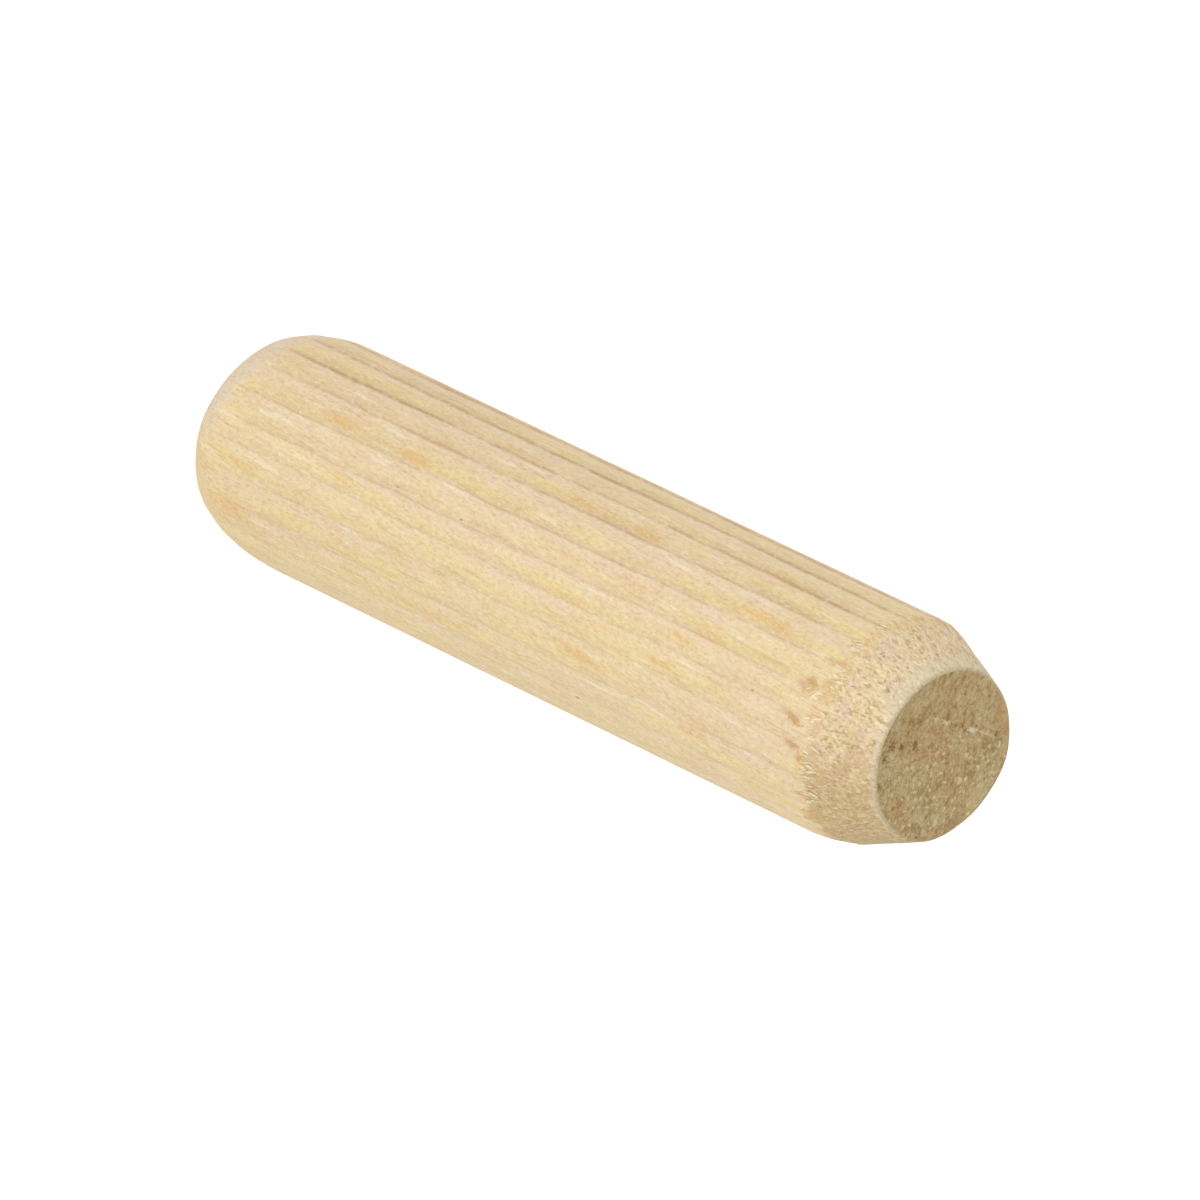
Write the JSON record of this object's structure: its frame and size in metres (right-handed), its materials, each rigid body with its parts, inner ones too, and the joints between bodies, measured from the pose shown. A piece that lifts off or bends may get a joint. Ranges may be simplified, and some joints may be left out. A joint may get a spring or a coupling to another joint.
{
  "type": "fluted dowel pin",
  "caption": "Round wooden dowel pin with shallow lengthwise flutes and a chamfered, flat-faced point at each end.",
  "frame": {"origin": "centre of the foot's flat face, at the bottom of the pin", "axes": "+Z along the pin's axis, from the shorter, softer chamfer at the foot to the longer chamfer at the head; one flute faces -Y"},
  "size_m": [0.0098, 0.0098, 0.04],
  "materials": {
    "wood": "matte"
  },
  "bodies": {
    "root": {"dowel_pin": "wood"}
  },
  "joints": []
}
